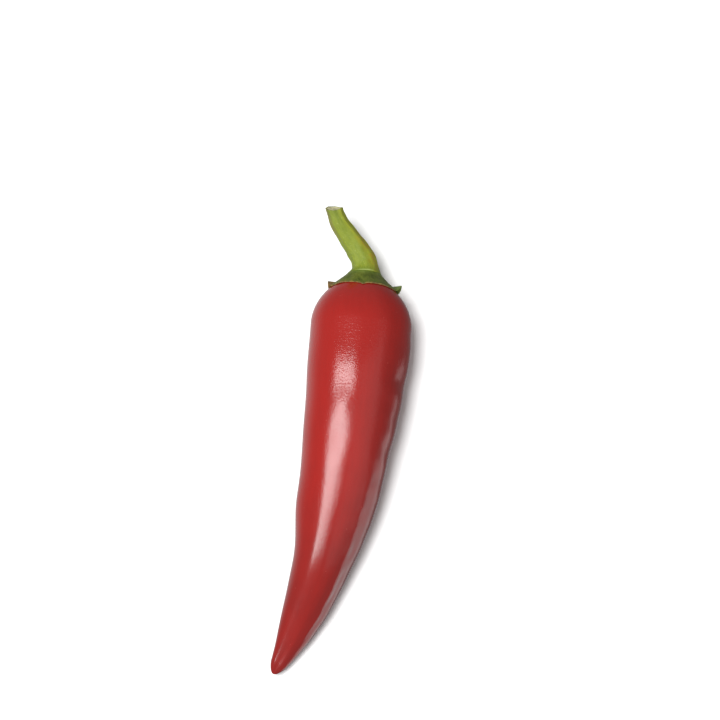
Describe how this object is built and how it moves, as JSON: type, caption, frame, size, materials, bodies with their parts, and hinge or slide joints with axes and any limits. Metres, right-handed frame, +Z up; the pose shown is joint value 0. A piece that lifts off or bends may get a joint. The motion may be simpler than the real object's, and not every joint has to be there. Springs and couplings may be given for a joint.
{
  "type": "chilli pepper",
  "caption": "Whole red chilli pepper lying on its side: smooth pod that tapers to a slightly hooked tip, green calyx with short teeth and a swaying stalk with a cut end.",
  "frame": {"origin": "on the surface the chilli lies on, under the middle of the whole fruit's bounding box", "axes": "+Y runs along the fruit from tip to stalk, +X is across it, with the tip hooking and the stalk swaying towards -X, and +Z is up"},
  "size_m": [0.0308, 0.1216, 0.024],
  "materials": {
    "pod_skin": "waxy natural gloss",
    "calyx_green": "matt, faintly ribbed",
    "stem_green": "satin, ridged lengthwise"
  },
  "bodies": {
    "root": {"pod": "pod_skin", "calyx": "calyx_green", "stem": "stem_green"}
  },
  "joints": []
}
